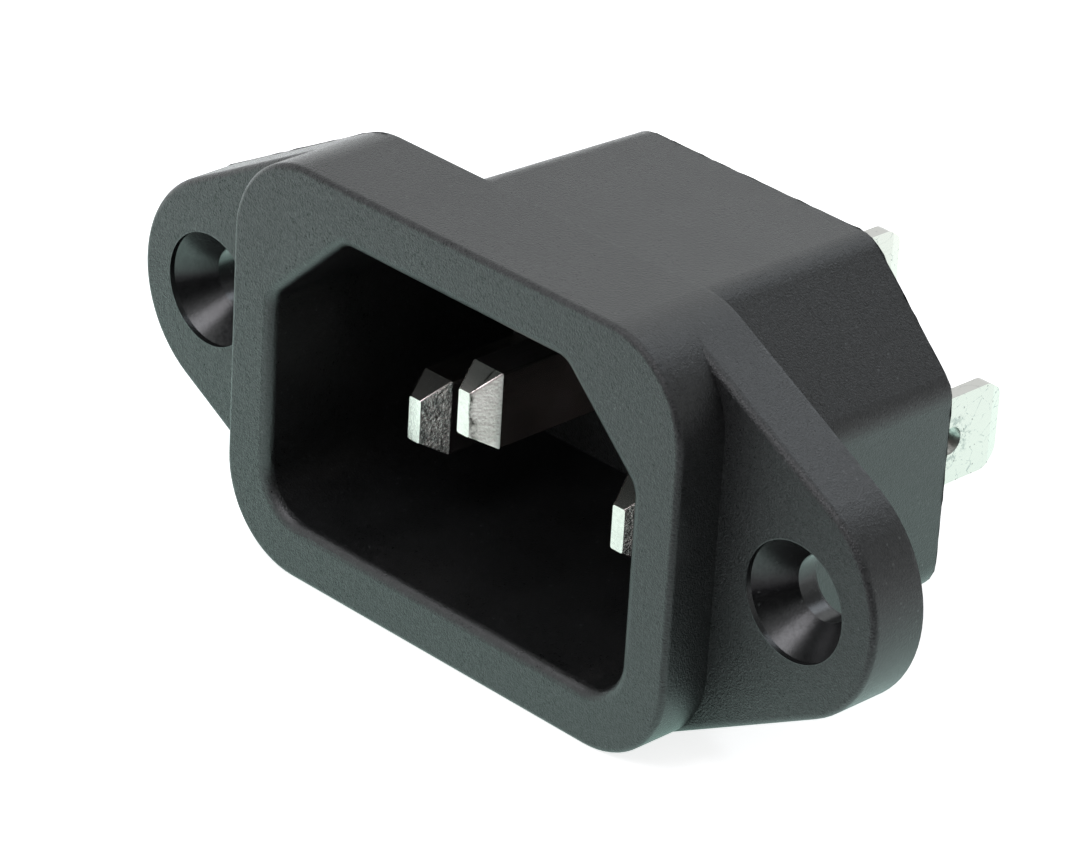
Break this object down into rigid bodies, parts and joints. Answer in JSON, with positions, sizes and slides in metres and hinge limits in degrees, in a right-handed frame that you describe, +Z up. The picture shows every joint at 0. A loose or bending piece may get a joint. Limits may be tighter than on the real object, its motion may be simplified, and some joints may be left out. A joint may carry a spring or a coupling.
{
  "type": "c14 panel inlet socket",
  "caption": "Screw-mounted panel power inlet: moulded housing with a keyed cavity, countersunk ears, bevelled blades and flat rear tails.",
  "frame": {"origin": "midway between the two screw holes, on the back face of the flange, where the panel lies", "axes": "+X across the width to the right as seen from the front, +Y from the mouth to the rear tails, +Z up, towards the cut-off corners of the cavity"},
  "size_m": [0.0498, 0.0308, 0.0218],
  "materials": {
    "moulding": "black, fine spark-eroded grain, smoother inside the countersinks",
    "contact_metal": "bright nickel plate over brass"
  },
  "bodies": {
    "root": {"housing": "moulding", "line_contact": "contact_metal", "neutral_contact": "contact_metal", "earth_contact": "contact_metal"}
  },
  "joints": []
}
